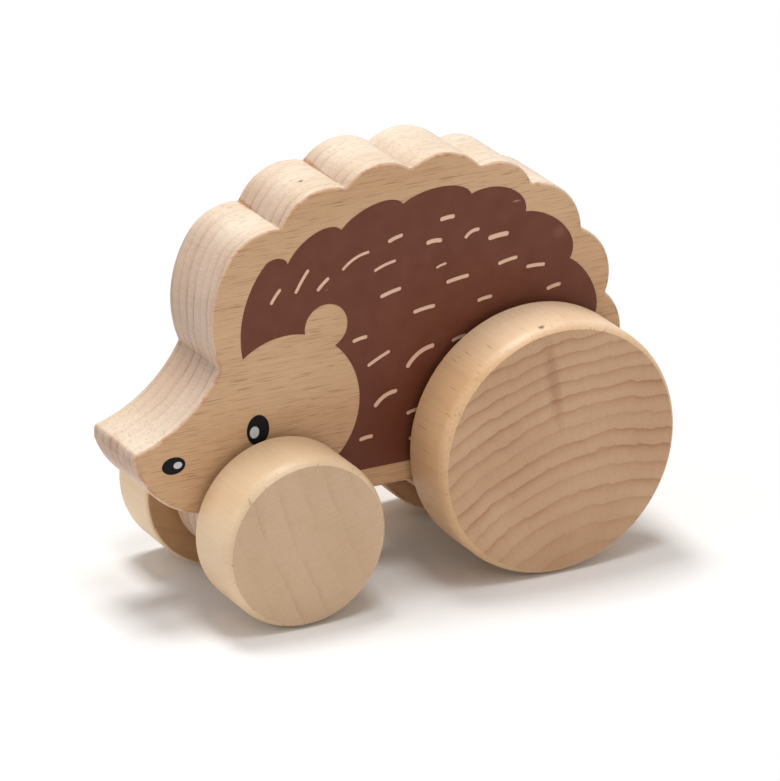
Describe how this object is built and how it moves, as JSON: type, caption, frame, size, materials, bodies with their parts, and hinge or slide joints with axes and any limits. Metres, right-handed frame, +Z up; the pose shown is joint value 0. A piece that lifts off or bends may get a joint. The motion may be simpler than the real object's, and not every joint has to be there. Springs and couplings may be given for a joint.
{
  "type": "push-along toy hedgehog",
  "caption": "Flat wooden hedgehog with a scalloped back and printed coat, rolling on large rear wheels and small front wheels fixed to turning axles.",
  "frame": {"origin": "on the floor plane, on the mid plane of the body, midway between the back of the rear wheels and the tip of the nose", "axes": "+X to the head and forwards, +Y to the animal's left and along the axles, +Z up"},
  "size_m": [0.127, 0.056, 0.0986],
  "materials": {
    "body_beech": "sanded beech board, clear satin oil",
    "wheel_beech": "sanded beech, clear satin oil",
    "dowel_beech": "turned beech dowel",
    "coat_ink": "matt brown printed ink",
    "black_ink": "matt black printed ink",
    "pale_ink": "matt off-white printed ink"
  },
  "bodies": {
    "hedgehog": {"body_block": "body_beech", "coat_print_left": "coat_ink", "eye_print_left": "black_ink", "nose_print_left": "black_ink", "eye_glint_left": "pale_ink", "nose_glint_left": "pale_ink", "coat_print_right": "coat_ink", "eye_print_right": "black_ink", "nose_print_right": "black_ink", "eye_glint_right": "pale_ink", "nose_glint_right": "pale_ink"},
    "front_wheelset": {"front_axle": "dowel_beech", "front_wheel_left": "wheel_beech", "front_wheel_right": "wheel_beech"},
    "rear_wheelset": {"rear_axle": "dowel_beech", "rear_wheel_left": "wheel_beech", "rear_wheel_right": "wheel_beech"}
  },
  "joints": [
    {"name": "front_wheelset_spin", "type": "hinge", "parent": "hedgehog", "child": "front_wheelset", "pos_m": [0.0299, 0, 0.02], "axis": [0, 1, 0], "continuous": true},
    {"name": "rear_wheelset_spin", "type": "hinge", "parent": "hedgehog", "child": "rear_wheelset", "pos_m": [-0.0335, 0, 0.03], "axis": [0, 1, 0], "continuous": true}
  ]
}
